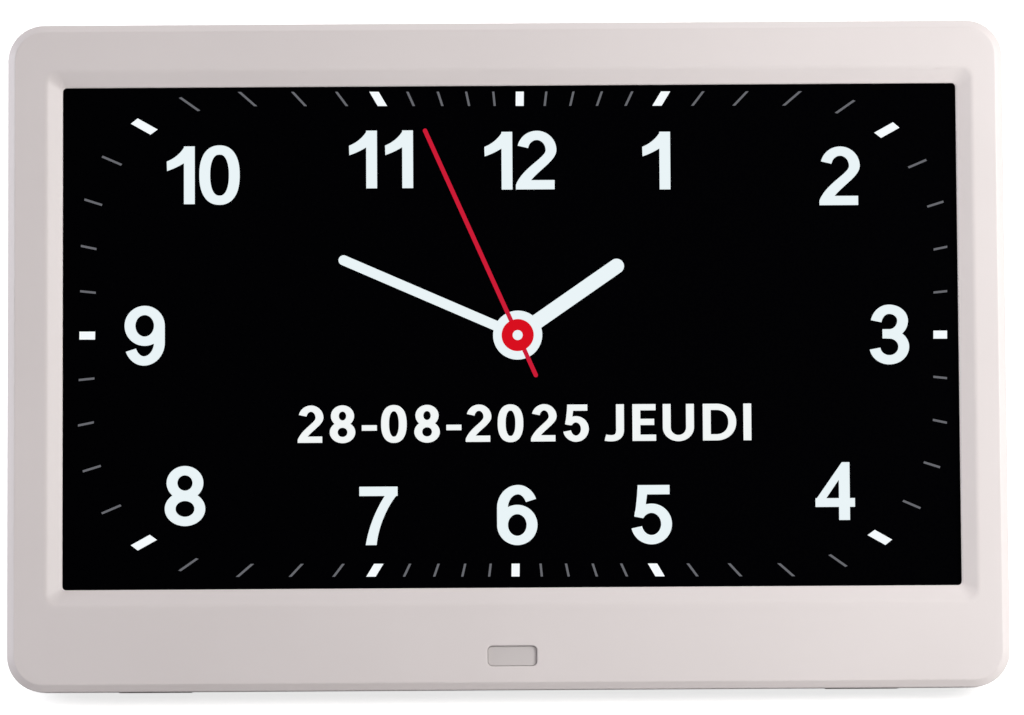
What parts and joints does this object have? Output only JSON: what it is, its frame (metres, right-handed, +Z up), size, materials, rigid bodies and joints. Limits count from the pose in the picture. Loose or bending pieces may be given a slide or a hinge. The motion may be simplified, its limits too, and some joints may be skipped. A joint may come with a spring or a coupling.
{
  "type": "dementia day clock",
  "caption": "Day clock: wide display in a moulded white casing that leans back on a fold-out leg, with buttons, sockets, vents and keyholes at the back.",
  "frame": {"origin": "middle of the outline on the table, with the clock leaning back on its open leg", "axes": "+X to the right as seen from the front, +Y from front to back, +Z up"},
  "size_m": [0.248, 0.0688, 0.1624],
  "materials": {
    "front_casing": "satin, silver-white moulded ABS",
    "rear_casing": "fine spark-eroded texture",
    "leg_plastic": "fine spark-eroded texture",
    "button_plastic": "satin",
    "window_plastic": "smoky, lets infrared through",
    "display_glass": "black, glossy",
    "clear_plastic": "clear, dotted",
    "white_plastic": "satin",
    "sheet_steel": "plated",
    "screw_steel": "plated",
    "circuit_board": "solder mask",
    "ribbon_film": "polyimide film",
    "black_plastic": "moulded",
    "lead_insulation": "extruded",
    "foot_rubber": "matte, grey"
  },
  "bodies": {
    "casing": {"front_bezel": "front_casing", "rear_cover": "rear_casing", "ir_window": "window_plastic", "ir_receiver": "black_plastic", "ir_board": "circuit_board", "display_cell": "display_glass", "light_guide": "clear_plastic", "backlight_frame": "white_plastic", "backlight_tray": "sheet_steel", "display_driver_board": "circuit_board", "display_ribbon": "ribbon_film", "display_clamps": "sheet_steel", "clamp_screws": "screw_steel", "main_board": "circuit_board", "board_chips": "black_plastic", "board_screws": "screw_steel", "dc_jack": "black_plastic", "usb_socket": "sheet_steel", "card_socket": "sheet_steel", "backup_cell": "sheet_steel", "cell_holder": "black_plastic", "speaker_left": "black_plastic", "speaker_right": "black_plastic", "speaker_leads": "lead_insulation", "key_lead": "lead_insulation", "key_board": "circuit_board", "key_switches": "black_plastic", "key_board_screws": "screw_steel", "hinge_pin": "screw_steel", "friction_washers": "screw_steel", "rubber_feet": "foot_rubber", "case_screws": "screw_steel"},
    "leg": {"stand_leg": "leg_plastic", "leg_foot_pad": "foot_rubber"},
    "power_button": {"power_button": "button_plastic"},
    "menu_button": {"menu_button": "button_plastic"},
    "left_button": {"left_button": "button_plastic"},
    "up_button": {"up_button": "button_plastic"},
    "down_button": {"down_button": "button_plastic"},
    "right_button": {"right_button": "button_plastic"},
    "ok_button": {"ok_button": "button_plastic"}
  },
  "joints": [
    {"name": "leg_hinge", "type": "hinge", "parent": "casing", "child": "leg", "pos_m": [0, 0.01298, 0.08595], "axis": [-1, 0, 0], "range_deg": [0, 28]},
    {"name": "power_button_travel", "type": "slide", "parent": "casing", "child": "power_button", "axis": [0, -0.9511, 0.309], "range_m": [0, 0.0006], "stiffness_N_per_m": 2500},
    {"name": "menu_button_travel", "type": "slide", "parent": "casing", "child": "menu_button", "axis": [0, -0.9511, 0.309], "range_m": [0, 0.0006], "stiffness_N_per_m": 2500},
    {"name": "left_button_travel", "type": "slide", "parent": "casing", "child": "left_button", "axis": [0, -0.9511, 0.309], "range_m": [0, 0.0006], "stiffness_N_per_m": 2500},
    {"name": "up_button_travel", "type": "slide", "parent": "casing", "child": "up_button", "axis": [0, -0.9511, 0.309], "range_m": [0, 0.0006], "stiffness_N_per_m": 2500},
    {"name": "down_button_travel", "type": "slide", "parent": "casing", "child": "down_button", "axis": [0, -0.9511, 0.309], "range_m": [0, 0.0006], "stiffness_N_per_m": 2500},
    {"name": "right_button_travel", "type": "slide", "parent": "casing", "child": "right_button", "axis": [0, -0.9511, 0.309], "range_m": [0, 0.0006], "stiffness_N_per_m": 2500},
    {"name": "ok_button_travel", "type": "slide", "parent": "casing", "child": "ok_button", "axis": [0, -0.9511, 0.309], "range_m": [0, 0.0006], "stiffness_N_per_m": 2500}
  ]
}
